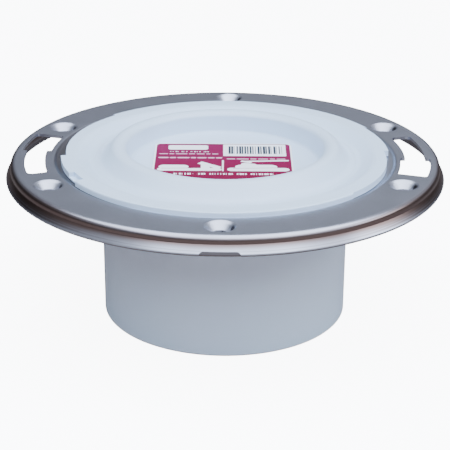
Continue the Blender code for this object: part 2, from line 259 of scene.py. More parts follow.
def finish_piece(piece, body, material_slot, *nodes):
    """Smooth shading that favours the large faces, a body to ride on, and the CAD nodes."""
    select_only(piece)
    bpy.ops.object.shade_smooth_by_angle(angle=SMOOTH_ANGLE)
    weights = piece.modifiers.new("face weights", "WEIGHTED_NORMAL")
    weights.keep_sharp = True
    bpy.ops.object.modifier_apply(modifier=weights.name)
    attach(piece, body)
    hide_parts(*nodes)
    piece.data.calc_loop_triangles()
    print(piece.name, len(piece.data.loop_triangles), "triangles on body", body)


# %% [markdown]
# ## Hub
#
# The hub is one injection moulding in rigid PVC. Its plain lower end is glued into 4 in
# pipe, or over 3 in pipe inside. Above, it flares to a neck for the steel ring and turns
# out into a flat lip, which keeps the ring down and carries the wax seal. The section is
# drawn down the outside and back up the bore. A mould can't make a perfectly sharp edge,
# so each corner has its rounding.

# %% Hub sizes, in mm
HUB_RADIUS = 50.4
HUB_FOOT_RADIUS = 50.2     # the mould's draft
SOCKET_RADIUS = 44.55
WATERWAY_RADIUS = 42.3
SEAT_RADIUS = 53.0
FUNNEL_RADIUS = 55.0
NECK_RADIUS = 61.5
LIP_RADIUS = 67.8
LIP_LAND_RADIUS = 60.5
SOCKET_TOP = 54.0
FLARE_FOOT = 55.7
NECK_FOOT = 61.2
SEAT = 62.5
VALLEY = 65.5
LIP_UNDER = 65.8
LIP_TOP = 68.2
print("hub:", 2 * HUB_RADIUS, "mm across the pipe,", 2 * LIP_RADIUS, "mm across the lip")

# %% Turn the hub
hub = turned(
    "flange_hub",
    [
        (LIP_LAND_RADIUS, LIP_TOP, 1.2),
        (LIP_RADIUS, LIP_TOP, 0.6),
        (LIP_RADIUS, LIP_UNDER, 0.15),
        (NECK_RADIUS, LIP_UNDER, 0.25),
        (NECK_RADIUS, NECK_FOOT, 0.8),
        (HUB_RADIUS, FLARE_FOOT, 2.5),
        (HUB_FOOT_RADIUS, 0.8, 0.3),
        (HUB_FOOT_RADIUS - 0.8, 0.0, 0.3),
        (SOCKET_RADIUS + 0.8, 0.0, 0.3),
        (SOCKET_RADIUS, 0.8, 0.3),
        (SOCKET_RADIUS, SOCKET_TOP),
        (WATERWAY_RADIUS, SOCKET_TOP, 0.3),
        (WATERWAY_RADIUS, SEAT, 0.2),
        (SEAT_RADIUS, SEAT),
        (SEAT_RADIUS, VALLEY),
        (FUNNEL_RADIUS, VALLEY, 0.6),
    ],
)
print("hub turned:", len(hub.data.polygons), "faces")

# %% [markdown]
# The lip's edge isn't a full circle. On each side a cut-back runs in gently, because its
# arc is struck from a point off the centre, and ends at a step. A shallower landing
# follows it, and the left landing ends in a small pocket. Four snap lugs stand out of the
# neck under the ring. They are moulded on, so they are joined to the hub, not separate.

# %% Cut the lip's edge
CUTBACKS = ((136.0, 53.0, 1.6), (316.0, 50.9, 0.5))  # start, arc and depth at the start
CUTBACK_DEEP = 3.6
LANDING_ENDS = (211.5, 387.5)
LANDING_DEPTH = 1.3
LANDING_LAP = 7.0
POCKET_ARC = 8.0
POCKET_DEPTH = 1.8
POCKET_WIDTH = 3.6
OVER = 2.0                 # how far a tool runs past what it cuts

edge_heights = (LIP_UNDER - 0.3, LIP_TOP + OVER)
for (start, arc, shallow), end in zip(CUTBACKS, LANDING_ENDS):
    offset = (CUTBACK_DEEP - shallow) / (1 - math.cos(math.radians(arc)))
    toward = math.radians(start)
    combine(
        hub,
        arc_tool(
            "cutback_tool",
            (LIP_RADIUS - shallow - offset, LIP_RADIUS + OVER),
            edge_heights,
            start,
            arc,
            centre=(offset * math.cos(toward), offset * math.sin(toward)),
        ),
    )
    landing = start + arc - LANDING_LAP
    landing_radii = (LIP_RADIUS - LANDING_DEPTH, LIP_RADIUS + OVER)
    combine(hub, arc_tool("landing_tool", landing_radii, edge_heights, landing, end - landing))

combine(
    hub,
    arc_tool(
        "pocket_tool",
        (LIP_RADIUS - POCKET_WIDTH, LIP_RADIUS + OVER),
        (LIP_TOP - POCKET_DEPTH, LIP_TOP + OVER),
        LANDING_ENDS[0] - POCKET_ARC,
        POCKET_ARC,
    ),
)
print("lip cut:", len(hub.data.polygons), "faces")

# %% Add the snap lugs
LUG_ANGLES = (45, 135, 225, 315)
LUG_ARC = 18.0
LUG_TOP = 63.9
LUG_REACH = 1.9
LUG_NOSE = 1.1             # height of its upright face
LUG_HEIGHT = 3.2
LUG_ROOT = 1.0             # how far it stands inside the neck

for middle in LUG_ANGLES:
    lug = draw_section(
        "snap_lug",
        [
            (NECK_RADIUS - LUG_ROOT, LUG_TOP),
            (NECK_RADIUS + LUG_REACH, LUG_TOP, 0.3),
            (NECK_RADIUS + LUG_REACH, LUG_TOP - LUG_NOSE, 0.3),
            (NECK_RADIUS - LUG_ROOT, LUG_TOP - LUG_HEIGHT),
        ],
    )
    bpy.ops.mesh.select_all(action="SELECT")
    bpy.ops.mesh.edge_face_add()
    spin_round(lug, LUG_ARC, round(LUG_ARC / TOOL_STEP))
    lug.rotation_euler.z = math.radians(middle - LUG_ARC / 2)
    select_only(lug)
    bpy.ops.object.transform_apply(location=True, rotation=True, scale=True)
    combine(hub, lug, "UNION")
finish_piece(hub, "hub", "pvc", "flange_body")

# %% [markdown]
# ## Steel ring
#
# The ring is stamped from 1.2 mm stainless sheet. Its inner edge is joggled down to tuck
# under the lip, its outer edge is bent down into a short wall and rolled out into a bead,
# which stiffens it and lies on the floor. Only the sheet's upper skin is seen, but the
# section is drawn all round, so that the edge of every slot has its real thickness.

# %% Ring sizes, in mm
SHEET = 1.2
RING_TOP = 66.7
TUCK_TOP = 65.5
FLOOR = 59.3
TUCK_RADIUS = 62.1
JOGGLE_RADIUS = 69.3
WALL_RADIUS = 86.9
RING_RADIUS = 88.9
BOLT_RADIUS = 77.05
SHOULDER = 2.2
BEAD_TOP = 63.6
BEAD_BELLY = 60.1
print("ring:", 2 * RING_RADIUS, "mm across, band", round(WALL_RADIUS - JOGGLE_RADIUS, 1), "mm")

# %% Turn the ring
ring = turned(
    "bolt_ring",
    [
        (TUCK_RADIUS, TUCK_TOP, 0.15),
        (JOGGLE_RADIUS - 1.1, TUCK_TOP, 0.5),
        (JOGGLE_RADIUS, RING_TOP, 0.6),
        (WALL_RADIUS, RING_TOP, SHOULDER),
        (WALL_RADIUS, BEAD_TOP, 0.3),
        (RING_RADIUS, BEAD_BELLY, 0.35),
        (RING_RADIUS - 0.4, FLOOR, 0.3),
        (WALL_RADIUS - SHEET, FLOOR, 0.5),
        (WALL_RADIUS - SHEET, RING_TOP - SHEET, SHOULDER - SHEET),
        (JOGGLE_RADIUS + 0.6, RING_TOP - SHEET, 0.5),
        (JOGGLE_RADIUS - 0.5, TUCK_TOP - SHEET, 0.5),
        (TUCK_RADIUS, TUCK_TOP - SHEET, 0.15),
    ],
)
print("ring turned:", len(ring.data.polygons), "faces")

# %% [markdown]
# Six screw holes are dimpled, so that flat heads sink into the ring. The press leaves a
# soft shoulder round each dimple and a cup below it. One cup and one trumpet-shaped tool
# are turned, then copied round the bolt circle. The cups are joined on first, and the
# tools cut through ring and cup together.

# %% Helper: copies round a circle
def copies_round(pattern, angles, radius):
    """Copies of a tool, each with its own mesh, at these angles on a circle. They are joined."""
    copies = []
    for angle in angles:
        copy = pattern.copy()
        copy.data = pattern.data.copy()
        bpy.context.collection.objects.link(copy)
        copy.location.x = radius * MM * math.cos(math.radians(angle))
        copy.location.y = radius * MM * math.sin(math.radians(angle))
        copies.append(copy)
    bpy.data.objects.remove(pattern)
    select_only(copies[0])
    for copy in copies:
        copy.select_set(True)
    bpy.ops.object.join()
    bpy.ops.object.transform_apply(location=True, rotation=True, scale=True)
    return copies[0]


# %% Press the screw dimples
HOLE_ANGLES = (28.0, 88.8, 153.8, 208.0, 268.8, 333.8)
HOLE_RADIUS = 3.2
DIMPLE_RADIUS = 5.2
DIMPLE_FLARE = 6.1
DIMPLE_DEPTH = 3.0
DIMPLE_BOTTOM = RING_TOP - 3.8
DIMPLE_STEPS = 40
CUP_WALL = 1.1
CUP_TOP = RING_TOP - SHEET / 2      # inside the sheet, so that cup and ring join
CLEAR = 1.0                # how far a punch stands past the sheet

cup = turned(
    "dimple_cup",
    [
        (0.0, CUP_TOP),
        (DIMPLE_RADIUS + 1.9, CUP_TOP),
        (DIMPLE_RADIUS + CUP_WALL, RING_TOP - 1.5, 0.3),
        (HOLE_RADIUS + CUP_WALL, DIMPLE_BOTTOM, 0.2),
        (0.0, DIMPLE_BOTTOM),
    ],
    closed=False,
    steps=DIMPLE_STEPS,
)
combine(ring, copies_round(cup, HOLE_ANGLES, BOLT_RADIUS), "UNION")
trumpet = turned(
    "dimple_tool",
    [
        (0.0, RING_TOP + CLEAR),
        (DIMPLE_FLARE + 0.6, RING_TOP + CLEAR),
        (DIMPLE_FLARE, RING_TOP + 0.03),
        (DIMPLE_RADIUS, RING_TOP - 0.45, 0.8),
        (HOLE_RADIUS, RING_TOP - DIMPLE_DEPTH, 0.2),
        (HOLE_RADIUS, DIMPLE_BOTTOM - CLEAR),
        (0.0, DIMPLE_BOTTOM - CLEAR),
    ],
    closed=False,
    steps=DIMPLE_STEPS,
)
combine(ring, copies_round(trumpet, HOLE_ANGLES, BOLT_RADIUS))
print("ring dimpled:", len(ring.data.polygons), "faces")

# %% [markdown]
# Two slots take the closet bolts. A bolt's head drops through the wide mouth, and the
# ring is turned until its shank stands in the narrow run. The same punch makes both
# slots, half a turn apart.

# %% Punch the bolt slots
MOUTH_WIDTH = 12.0
SHANK_WIDTH = 8.2
MOUTH_START = -17.6
MOUTH_ARC = 15.0
SHANK_ARC = 20.0
MOUTH_CORNER = 1.0
SHANK_CORNER = 2.0

through = (RING_TOP - SHEET - CLEAR, RING_TOP + CLEAR)
mouth = (BOLT_RADIUS - MOUTH_WIDTH / 2, BOLT_RADIUS + MOUTH_WIDTH / 2)
run = (BOLT_RADIUS - SHANK_WIDTH / 2, BOLT_RADIUS + SHANK_WIDTH / 2)
run_arc = MOUTH_ARC / 2 + SHANK_ARC
for turn in (0.0, 180.0):
    start = turn + MOUTH_START
    combine(ring, arc_tool("mouth_punch", mouth, through, start, MOUTH_ARC, MOUTH_CORNER))
    start += MOUTH_ARC / 2
    combine(ring, arc_tool("run_punch", run, through, start, run_arc, SHANK_CORNER))
print("slots punched:", len(ring.data.polygons), "faces")

# %% [markdown]
# A shallow relief is cut in the bead at the front. Its tool has round upper corners, which
# are found by their place and bevelled. The last step rounds the sheet's cut edges, as
# tumbling leaves them.

# %% Cut the relief and soften the ring
RELIEF_ANGLE = 268.9
RELIEF_ARC = 9.8
RELIEF_HEIGHT = 1.9
RELIEF_DEPTH = 0.9
RELIEF_CORNER = 1.5
TUMBLED_EDGE = 0.15

relief = arc_tool(
    "relief_tool",
    (RING_RADIUS - RELIEF_DEPTH, RING_RADIUS + OVER),
    (FLOOR - OVER, FLOOR + RELIEF_HEIGHT),
    RELIEF_ANGLE - RELIEF_ARC / 2,
    RELIEF_ARC,
)
bpy.ops.object.mode_set(mode="EDIT")


def top_end(edge):
    """True for the relief tool's top edge at either of its ends."""
    turns = [math.degrees(math.atan2(v.co.y, v.co.x)) % 360 - RELIEF_ANGLE for v in edge.verts]
    at_end = all(abs(turn) > RELIEF_ARC / 2 - 0.1 for turn in turns)
    return at_end and all(v.co.z > (FLOOR + RELIEF_HEIGHT - 0.1) * MM for v in edge.verts)


select_where(relief, "edges", top_end)
bpy.ops.mesh.bevel(offset=RELIEF_CORNER * MM, segments=4, affect="EDGES")
combine(ring, relief)
soften(ring, TUMBLED_EDGE)
finish_piece(ring, "ring", "stainless", "swivel_ring")

# %% [markdown]
# ## Test cap
#
# The cap closes the drain while the pipes are tested with air or water. It is a dish with
# a tall rounded ridge round it, and it is turned like the hub. The ridge stiffens it, so
# that a blow on the dish breaks it out along its rim. On the real part a thin web joins
# the rim to the hub. Here the rim lies on the hub's ledge with a hair of clearance.

# %% Turn the cap
DISH_TOP = 63.0
DISH_UNDER = 60.6
DISH_FLOOR_RADIUS = 39.1
DISH_OUTSIDE = 42.0
CREST_RADIUS = 43.4
CREST = 71.8
RIDGE_HALF_WIDTH = 3.4
RIDGE_ROUND = 2.4
RIDGE_FOOT = 51.2
CAP_RADIUS = 52.96         # a hair inside the hub's ledge, so the seam hardly shows
CAP_UNDER = 62.8
GROOVE = [                 # under the ridge: radius, height and rounding
    (48.1, CAP_UNDER, 0.4),
    (45.1, 68.1, 0.8),
    (43.6, 69.5, 0.5),
    (42.5, 69.0, 0.4),
    (DISH_OUTSIDE, 67.7, 0.4),
]

ridge = []
for degrees in range(180, 20, -10):
    angle = math.radians(degrees)
    r = CREST_RADIUS + RIDGE_HALF_WIDTH * math.cos(angle)
    ridge.append((r, CREST - RIDGE_ROUND + RIDGE_ROUND * math.sin(angle)))
cap = turned(
    "test_cap",
    [
        (0.0, DISH_TOP),
        (DISH_FLOOR_RADIUS, DISH_TOP, 1.2),
        *ridge,
        (RIDGE_FOOT, VALLEY, 2.0),
        (CAP_RADIUS, VALLEY),
        (CAP_RADIUS, CAP_UNDER, 0.25),
        *GROOVE,
        (DISH_OUTSIDE, DISH_UNDER, 1.0),
        (0.0, DISH_UNDER),
    ],
    closed=False,
)
finish_piece(cap, "cap", "pvc", "knockout_cap")

# %% [markdown]
# ## Label
#
# The label is a paper sticker with a thin clear coat, 57 by 45 mm with round corners. It
# is a plane resized to the label, its corners rounded, then extruded by the thickness of
# sticker and glue. Its print is a material, further on, not geometry.

# %% Cut the label
LABEL_WIDTH = 57.0
LABEL_DEPTH = 45.0
LABEL_THICK = 0.3
LABEL_SHIFT = -0.8
LABEL_UNDER = 63.3
LABEL_CORNER = 2.5
PAPER_EDGE = 0.08

select_nothing()
bpy.ops.mesh.primitive_plane_add(size=MM, location=Vector((LABEL_SHIFT, 0.0, LABEL_UNDER)) * MM)
label = bpy.context.object
label.name = "printed_label"
bpy.ops.transform.resize(value=(LABEL_WIDTH, LABEL_DEPTH, 1.0))
bpy.ops.object.transform_apply(location=True, rotation=True, scale=True)
bpy.ops.object.mode_set(mode="EDIT")
bpy.ops.mesh.select_all(action="SELECT")
bpy.ops.mesh.bevel(offset=LABEL_CORNER * MM, segments=8, affect="VERTICES")
bpy.ops.mesh.select_all(action="SELECT")
bpy.ops.mesh.extrude_region_move(TRANSFORM_OT_translate={"value": (0, 0, LABEL_THICK * MM)})
bpy.ops.mesh.select_all(action="SELECT")
bpy.ops.mesh.normals_make_consistent(inside=False)
bpy.ops.object.mode_set(mode="OBJECT")
soften(label, PAPER_EDGE)
finish_piece(label, "cap", "label", "cap_label")

# %% [markdown]
# ## Materials
#
# Each material starts from what the real one is. Colours are given as sRGB hex values, as
# a paint chart gives them, and one function turns them to the linear values that Blender
# mixes. Another adds a node with its settings and links. Patterns read Object
# coordinates, which are metres here, so a pattern's scale is one over its real size.

# %% Helpers: colour, material and node
def linear(hex_colour):
    channels = [int(hex_colour[i : i + 2], 16) / 255 for i in (1, 3, 5)]
    return (*[c / 12.92 if c <= 0.04045 else ((c + 0.055) / 1.055) ** 2.4 for c in channels], 1.0)


def add(tree, kind, settings=None, links=None):
    """Adds a node. Settings are its properties or unlinked inputs, links its linked inputs."""
    node = tree.nodes.new(kind)
    for key, value in (settings or {}).items():
        if isinstance(key, str) and hasattr(node, key):
            setattr(node, key, value)
        else:
            node.inputs[key].default_value = value
    for key, socket in (links or {}).items():
        tree.links.new(socket, node.inputs[key])
    return node


def new_material(name, roughness, ior=None, metallic=0.0):
    material = bpy.data.materials.new(name)
    material.use_nodes = True
    shader = material.node_tree.nodes["Principled BSDF"]
    shader.inputs["Roughness"].default_value = roughness
    shader.inputs["Metallic"].default_value = metallic
    if ior:
        shader.inputs["IOR"].default_value = ior
    return material, material.node_tree, shader


def dress(piece, material):
    piece.data.materials.clear()
    piece.data.materials.append(material)


# %% [markdown]
# ### Rigid PVC, injection moulded
#
# The compound is white with a little blue in it. A polished mould gives it a soft gloss,
# and the melt's flow leaves faint clouds a few centimetres across and a very slight
# orange peel.

# %% PVC material
PVC_WHITE = linear("#D0E4F8")
PVC_SHADE = linear("#C8DEF4")
CLOUD_SIZE = 22 * MM
PEEL_SIZE = 1.6 * MM       # real orange peel is near 0.8 mm, drawn coarser so that it shows
PEEL_DEPTH = 0.03 * MM

pvc, tree, shader = new_material("rigid PVC, injection moulded", 0.34, ior=1.53)
where = add(tree, "ShaderNodeTexCoord")
clouds = add(
    tree,
    "ShaderNodeTexNoise",
    {"Scale": 1 / CLOUD_SIZE, "Detail": 3.0, "Roughness": 0.5},
    {"Vector": where.outputs["Object"]},
)
tone = add(
    tree,
    "ShaderNodeMix",
    {"data_type": "RGBA", 6: PVC_WHITE, 7: PVC_SHADE},
    {0: clouds.outputs["Fac"]},
)
tree.links.new(tone.outputs[2], shader.inputs["Base Color"])
gloss = add(
    tree,
    "ShaderNodeMapRange",
    {"From Min": 0.3, "From Max": 0.7, "To Min": 0.30, "To Max": 0.40},
    {"Value": clouds.outputs["Fac"]},
)
tree.links.new(gloss.outputs["Result"], shader.inputs["Roughness"])
peel = add(
    tree,
    "ShaderNodeTexNoise",
    {"Scale": 1 / PEEL_SIZE, "Detail": 2.0},
    {"Vector": where.outputs["Object"]},
)
bump = add(
    tree,
    "ShaderNodeBump",
    {"Strength": 0.25, "Distance": PEEL_DEPTH},
    {"Height": peel.outputs["Fac"]},
)
tree.links.new(bump.outputs["Normal"], shader.inputs["Normal"])
dress(hub, pvc)
dress(cap, pvc)
print("PVC on", hub.name, "and", cap.name)

# %% [markdown]
# ### Stainless steel sheet, cold rolled and pressed
#
# Cold-rolled stainless has a soft, slightly cloudy satin finish. The bend and the rolled
# bead were drawn over a tool, which burnishes them, so they are brighter and carry fine
# lines along the rim. Object coordinates are turned into measures first: how far a point
# is from the pipe's axis, and where it lies in the section that was spun.

# %% Stainless: clouds, lines and measures
MILL_CLOUD = 11 * MM
RIM_LINE = 0.8 * MM        # tool lines are near 0.1 mm, drawn coarser so that they show
RIM_BAND = (0.0850, 0.0866)         # metres from the axis: where the bend starts, and is full

steel, tree, shader = new_material("stainless steel sheet, cold rolled", 0.3, metallic=1.0)
where = add(tree, "ShaderNodeTexCoord")
clouds = add(
    tree,
    "ShaderNodeTexNoise",
    {"Scale": 1 / MILL_CLOUD, "Detail": 4.0, "Roughness": 0.55},
    {"Vector": where.outputs["Object"]},
)
apart = add(tree, "ShaderNodeSeparateXYZ", {}, {0: where.outputs["Object"]})
flat_place = add(
    tree,
    "ShaderNodeCombineXYZ",
    {"Z": 0.0},
    {"X": apart.outputs["X"], "Y": apart.outputs["Y"]},
)
radius = add(tree, "ShaderNodeVectorMath", {"operation": "LENGTH"}, {0: flat_place.outputs[0]})
section_place = add(
    tree,
    "ShaderNodeCombineXYZ",
    {"Z": 0.0},
    {"X": radius.outputs["Value"], "Y": apart.outputs["Z"]},
)
lines = add(
    tree,
    "ShaderNodeTexNoise",
    {"Scale": 1 / RIM_LINE, "Detail": 2.0},
    {"Vector": section_place.outputs[0]},
)
on_rim = add(
    tree,
    "ShaderNodeMapRange",
    {"From Min": RIM_BAND[0], "From Max": RIM_BAND[1]},
    {"Value": radius.outputs["Value"]},
)
sideways = add(tree, "ShaderNodeMath", {"operation": "ABSOLUTE"}, {0: apart.outputs["X"]})
print("steel:", len(tree.nodes), "nodes so far")

# %% [markdown]
# Shade is painted into the steel's colour. Brown painted shade and painted dark reflection
# lie in the corner above the bead, and widen towards the left and right, where the slots
# are. A dark painted shade lies on one side of each dimple. Each of them grows from a
# distance: to the corner of the section, or to the middle of the nearest dimple's patch.
# The patches are longer than they are wide, so the distance is taken in a squashed plane.

# %% Stainless: distances to the painted shade in the corner and at the dimples
# The painted shade and dark reflection are darkest at this corner of the section.
PAINTED_SHADE_CORNER = (0.0870, 0.0640, 0.0)    # metres: radius and height of the corner
DIMPLE_SHADE_SHIFT = 4.4          # mm from a dimple's middle, to the side where the painted shade lies
DIMPLE_SHADE_SQUASH = 0.45        # width over length of each dimple's patch of painted shade

from_corner = add(
    tree,
    "ShaderNodeVectorMath",
    {"operation": "DISTANCE", 1: PAINTED_SHADE_CORNER},
    {0: section_place.outputs[0]},
)
# The painted shade reaches further towards the left and right ends of the ring.
shade_spread = add(
    tree,
    "ShaderNodeMapRange",
    {"From Min": 0.045, "From Max": 0.066, "To Min": 0.0, "To Max": 0.8 * MM},
    {"Value": sideways.outputs[0]},
)
corner_shade_reach = add(
    tree,
    "ShaderNodeMath",
    {"operation": "SUBTRACT"},
    {0: from_corner.outputs["Value"], 1: shade_spread.outputs["Result"]},
)
squashed = add(
    tree,
    "ShaderNodeVectorMath",
    {"operation": "MULTIPLY", 1: (1.0, DIMPLE_SHADE_SQUASH, 0.0)},
    {0: where.outputs["Object"]},
)
# Distance to the nearest dimple's patch of painted shade.
dimple_shade_reach = None
for angle in HOLE_ANGLES:
    x = (BOLT_RADIUS * math.cos(math.radians(angle)) + DIMPLE_SHADE_SHIFT) * MM
    y = BOLT_RADIUS * math.sin(math.radians(angle)) * DIMPLE_SHADE_SQUASH * MM
    reach = add(
        tree,
        "ShaderNodeVectorMath",
        {"operation": "DISTANCE", 1: (x, y, 0.0)},
        {0: squashed.outputs[0]},
    ).outputs["Value"]
    if dimple_shade_reach is not None:
        reach = add(
            tree,
            "ShaderNodeMath",
            {"operation": "MINIMUM"},
            {0: dimple_shade_reach, 1: reach},
        ).outputs[0]
    dimple_shade_reach = reach
print("smears at", len(HOLE_ANGLES), "dimples")

# %% [markdown]
# Each patch of painted shade has a colour and an amount. The amount is the product of
# smooth steps, and each step runs between two values of one measure. So the same loop
# paints dark reflections along the lines on the rim, and painted shade in the corner,
# along the bead's lower edge, in the relief, in the joggle on the left where the lip's
# shadow falls, and on one side of each dimple.

# %% Stainless: painted shade over the steel's own colour
STEEL = linear("#B4B9C6")
STEEL_WARM = linear("#ABADB9")
# Brown painted shade and painted dark reflection for the rim and the corner above the bead.
RIM_PAINTED_SHADE = linear("#70605C")
# Grey painted shade for the bead's lower edge, the relief and the joggle on the left.
EDGE = linear("#6A6466")
# Dark painted shade for one side of each dimple.
DIMPLE_PAINTED_SHADE = linear("#2E2A2C")

from_axis = radius.outputs["Value"]
height = apart.outputs["Z"]
to_right = apart.outputs["X"]
painted_shades = [
    # colour, the most of it, then each measure, where it starts and where it is full
    # Painted dark reflections along the rim's lines, stronger towards the left and right.
    (RIM_PAINTED_SHADE, 0.6, [
        (lines.outputs["Fac"], 0.56, 0.40),
        (sideways.outputs[0], 0.035, 0.068),
        (from_axis, *RIM_BAND),
    ]),
    # Painted shade and painted dark reflection in the corner above the bead.
    (RIM_PAINTED_SHADE, 1.0, [(corner_shade_reach.outputs[0], 0.0032, 0.0004)]),
    # Painted shade: a dark line along the bead's lower edge.
    (EDGE, 1.0, [(height, 0.0602, 0.0596)]),
    # Painted shade in the relief, below its top.
    (EDGE, 0.7, [(from_axis, 0.08840, 0.08815), (height, 0.0614, 0.0612)]),
    # Painted shadow of the lip in the joggle, on the left side only.
    (EDGE, 0.8, [(from_axis, 0.0696, 0.0689), (to_right, -0.028, -0.050)]),
    # Painted shade on one side of each dimple.
    (DIMPLE_PAINTED_SHADE, 0.95, [(dimple_shade_reach, 0.0013, 0.0005)]),
]
base = add(
    tree,
    "ShaderNodeMix",
    {"data_type": "RGBA", 6: STEEL, 7: STEEL_WARM},
    {0: clouds.outputs["Fac"]},
).outputs[2]
for colour, most, measures in painted_shades:
    amount = None
    for value, starts, full in measures:
        step = add(
            tree,
            "ShaderNodeMapRange",
            {
                "interpolation_type": "SMOOTHSTEP",
                "From Min": starts,
                "From Max": full,
                "To Max": most if amount is None else 1.0,
            },
            {"Value": value},
        ).outputs["Result"]
        if amount is not None:
            step = add(
                tree,
                "ShaderNodeMath",
                {"operation": "MULTIPLY"},
                {0: amount, 1: step},
            ).outputs[0]
        amount = step
    base = add(
        tree,
        "ShaderNodeMix",
        {"data_type": "RGBA", 7: colour},
        {0: amount, 6: base},
    ).outputs[2]
tree.links.new(base, shader.inputs["Base Color"])
print("smudges:", len(painted_shades))

# %% Stainless: satin, burnish and tool lines
LINE_DEPTH = 0.01 * MM
BURNISHED = 0.28

satin = add(
    tree,
    "ShaderNodeMapRange",
    {"From Min": 0.3, "From Max": 0.7, "To Min": 0.30, "To Max": 0.38},
    {"Value": clouds.outputs["Fac"]},
)
finish = add(
    tree,
    "ShaderNodeMix",
    {"data_type": "FLOAT", "B": BURNISHED},
    {0: on_rim.outputs["Result"], 2: satin.outputs["Result"]},
)
tree.links.new(finish.outputs[0], shader.inputs["Roughness"])
bump = add(
    tree,
    "ShaderNodeBump",
    {"Distance": LINE_DEPTH},
    {"Strength": on_rim.outputs["Result"], "Height": lines.outputs["Fac"]},
)
tree.links.new(bump.outputs["Normal"], shader.inputs["Normal"])
dress(ring, steel)
print("stainless on", ring.name, "with", len(tree.nodes), "nodes")

# %% [markdown]
# ### Printed label
#
# The label is crimson ink on white paper. Every patch of the print is a box with rounded
# corners, which may be turned. A patch is found from the distance to its inner box: where
# that is less than the rounding, the ink is on. A patch as round as it is deep is an
# oval. What is printed is generic: bars for the heading and for the lines of small text,
# a bar code of random widths, and two plain signs.

# %% Helpers: patches of print
printed, tree, shader = new_material("coated paper, printed", 0.6, ior=1.45)
shader.inputs["Specular IOR Level"].default_value = 0.15
where = add(tree, "ShaderNodeTexCoord")
place = add(
    tree,
    "ShaderNodeMapping",
    {"Location": (-LABEL_SHIFT, 0.0, 0.0), "Scale": (1 / MM, 1 / MM, 0.0)},
    {"Vector": where.outputs["Object"]},
)


def in_patches(patches):
    """1 inside any patch (middle x, middle y, width, depth, rounding, turn), mm and degrees."""
    total = None
    for x, y, width, depth, rounding, turn in patches:
        centred = add(
            tree,
            "ShaderNodeVectorMath",
            {"operation": "SUBTRACT", 1: (x, y, 0.0)},
            {0: place.outputs["Vector"]},
        )
        straight = add(
            tree,
            "ShaderNodeVectorRotate",
            {"rotation_type": "Z_AXIS", "Angle": math.radians(-turn)},
            {"Vector": centred.outputs[0]},
        )
        half = add(
            tree,
            "ShaderNodeVectorMath",
            {"operation": "ABSOLUTE"},
            {0: straight.outputs[0]},
        )
        past = add(
            tree,
            "ShaderNodeVectorMath",
            {"operation": "SUBTRACT", 1: (width / 2 - rounding, depth / 2 - rounding, 0.0)},
            {0: half.outputs[0]},
        )
        outside = add(
            tree,
            "ShaderNodeVectorMath",
            {"operation": "MAXIMUM", 1: (0.0, 0.0, 0.0)},
            {0: past.outputs[0]},
        )
        far = add(tree, "ShaderNodeVectorMath", {"operation": "LENGTH"}, {0: outside.outputs[0]})
        inside = add(
            tree,
            "ShaderNodeMath",
            {"operation": "LESS_THAN", 1: rounding},
            {0: far.outputs["Value"]},
        ).outputs[0]
        if total is not None:
            inside = add(
                tree,
                "ShaderNodeMath",
                {"operation": "MAXIMUM"},
                {0: total, 1: inside},
            ).outputs[0]
        total = inside
    return total


def dashes(left, y, lengths, height, gap=1.1):
    """A line of small text as plain dashes, from left to right."""
    row = []
    for length in lengths:
        row.append((left + length / 2, y, length, height, height / 2.5, 0.0))
        left += length + gap
    return row


# %% Lay out the print
field = [(0.0, 0.0, 55.6, 43.6, 1.8, 0.0)]
heading = [(-14.6, 17.2, 16.6, 5.6, 1.4, 0.0)]
bold_text = [
    *dashes(-22.0, 11.9, (3.6, 2.6, 4.4, 2.6), 0.8),
    *dashes(-20.0, -14.6, (8.0, 3.6, 9.6, 4.2, 9.4), 1.8, 1.4),
]
fine_text = [
    *dashes(-26.4, 9.2, (3.6, 2.0, 4.8, 2.6, 3.4, 1.8, 2.6), 0.8, 0.6),
    *dashes(-26.6, 4.5, (4.2, 2.6, 5.0, 2.2, 3.8, 2.8, 2.6), 1.3, 0.5),
    *dashes(1.5, 3.3, (3.4, 5.0, 2.6, 4.2, 2.2, 3.6), 0.9, 0.6),
]
divider = [(-0.1, -4.8, 0.7, 13.0, 0.3, 0.0)]
left_sign = [
    (-20.0, -6.4, 12.0, 4.4, 2.1, 0.0),
    (-13.6, -9.4, 26.0, 3.4, 1.6, 0.0),
    (-5.5, -4.5, 10.4, 3.0, 0.3, -38.0),
    (-7.2, -6.0, 3.6, 5.6, 0.3, 0.0),
]
right_sign = [
    (17.2, 0.9, 19.4, 1.3, 0.5, 4.0),
    (9.4, -0.2, 4.6, 1.6, 0.5, -24.0),
    (14.2, -9.3, 25.0, 3.8, 1.8, 0.0),
    (13.4, -6.4, 17.0, 5.4, 2.6, 0.0),
    (10.4, -3.6, 6.4, 3.2, 1.4, -14.0),
]
rules = [
    (-13.6, 7.1, 27.0, 0.7, 0.2, 0.0),
    (13.6, 5.6, 27.0, 0.7, 0.2, 0.0),
    (14.0, -7.6, 20.0, 0.35, 0.1, 3.0),
    (-17.0, -8.0, 16.0, 0.35, 0.1, 2.0),
]
code_field = [(13.0, 14.0, 26.0, 14.4, 0.4, 0.0)]
code = [(13.0, 14.2, 22.8, 9.6, 0.1, 0.0)]
print("signs of", len(left_sign), "and", len(right_sign), "patches,", len(rules), "rules")

# %% [markdown]
# The label is divided into upright strips of one pitch. Each strip's number gives it a
# fixed chance, and the chance gives the width of its bar. The bars make the bar code, and
# they also break the lines of bold text into strokes, so that these look like print from a
# distance without being letters.

# %% Strips and bars
BAR_PITCH = 1.1            # mm

